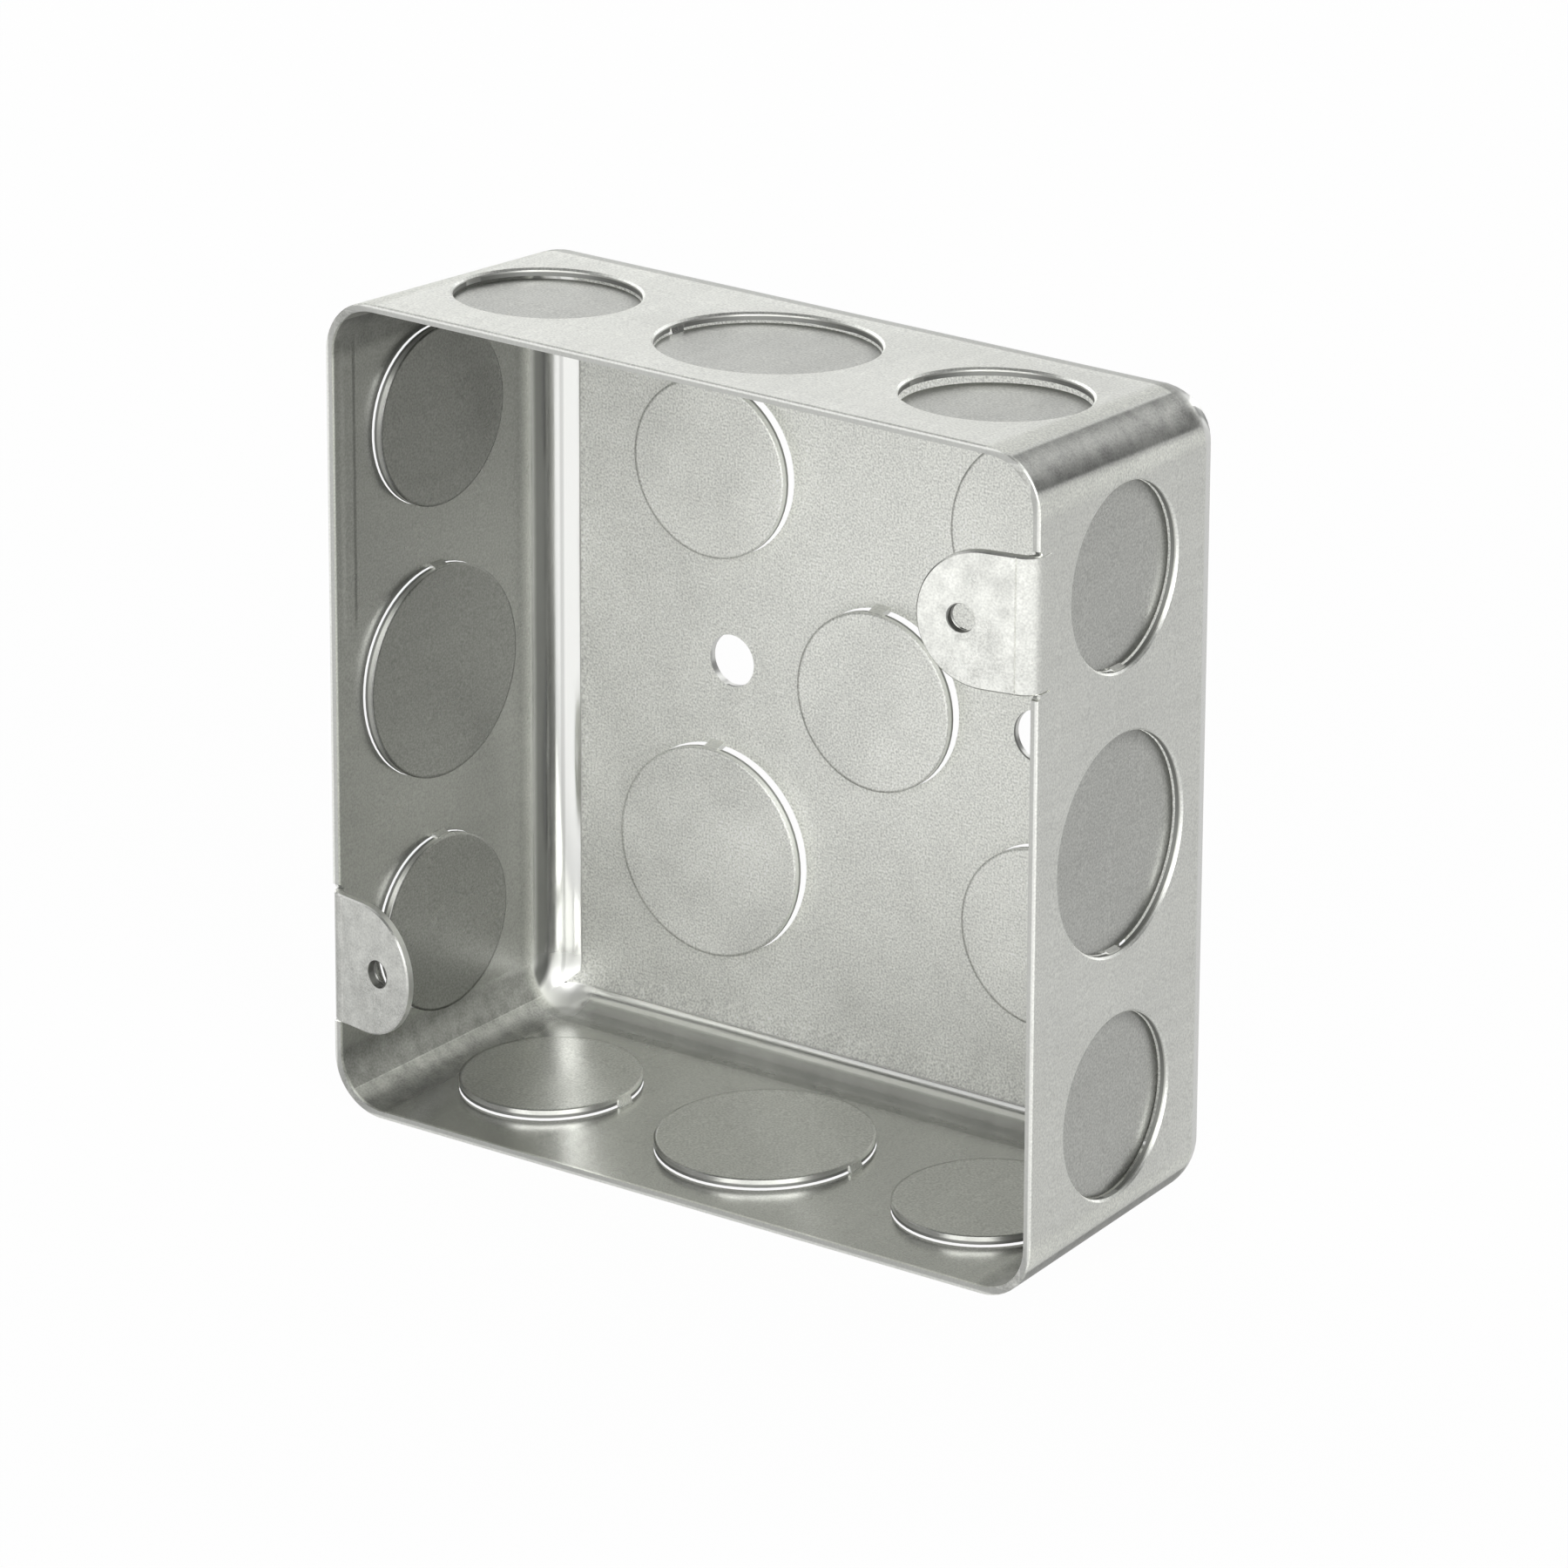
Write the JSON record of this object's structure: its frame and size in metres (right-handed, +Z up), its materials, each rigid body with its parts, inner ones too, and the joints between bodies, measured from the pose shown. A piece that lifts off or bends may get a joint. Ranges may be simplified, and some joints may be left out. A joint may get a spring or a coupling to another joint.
{
  "type": "square electrical box",
  "caption": "Shallow open square sheet-steel box that holds wiring joints, with round knockouts in its walls and back, bent ears for the cover screws and mounting holes.",
  "frame": {"origin": "middle of the box across, on the surface that its lower wall stands on, halfway along the overall depth", "axes": "+X to the right seen from the open front, +Y from the open front to the back, +Z up"},
  "size_m": [0.1016, 0.0441, 0.1016],
  "materials": {
    "galvanised_steel": "bright galvanised sheet with a fine grain"
  },
  "bodies": {
    "root": {"box_shell": "galvanised_steel"}
  },
  "joints": []
}
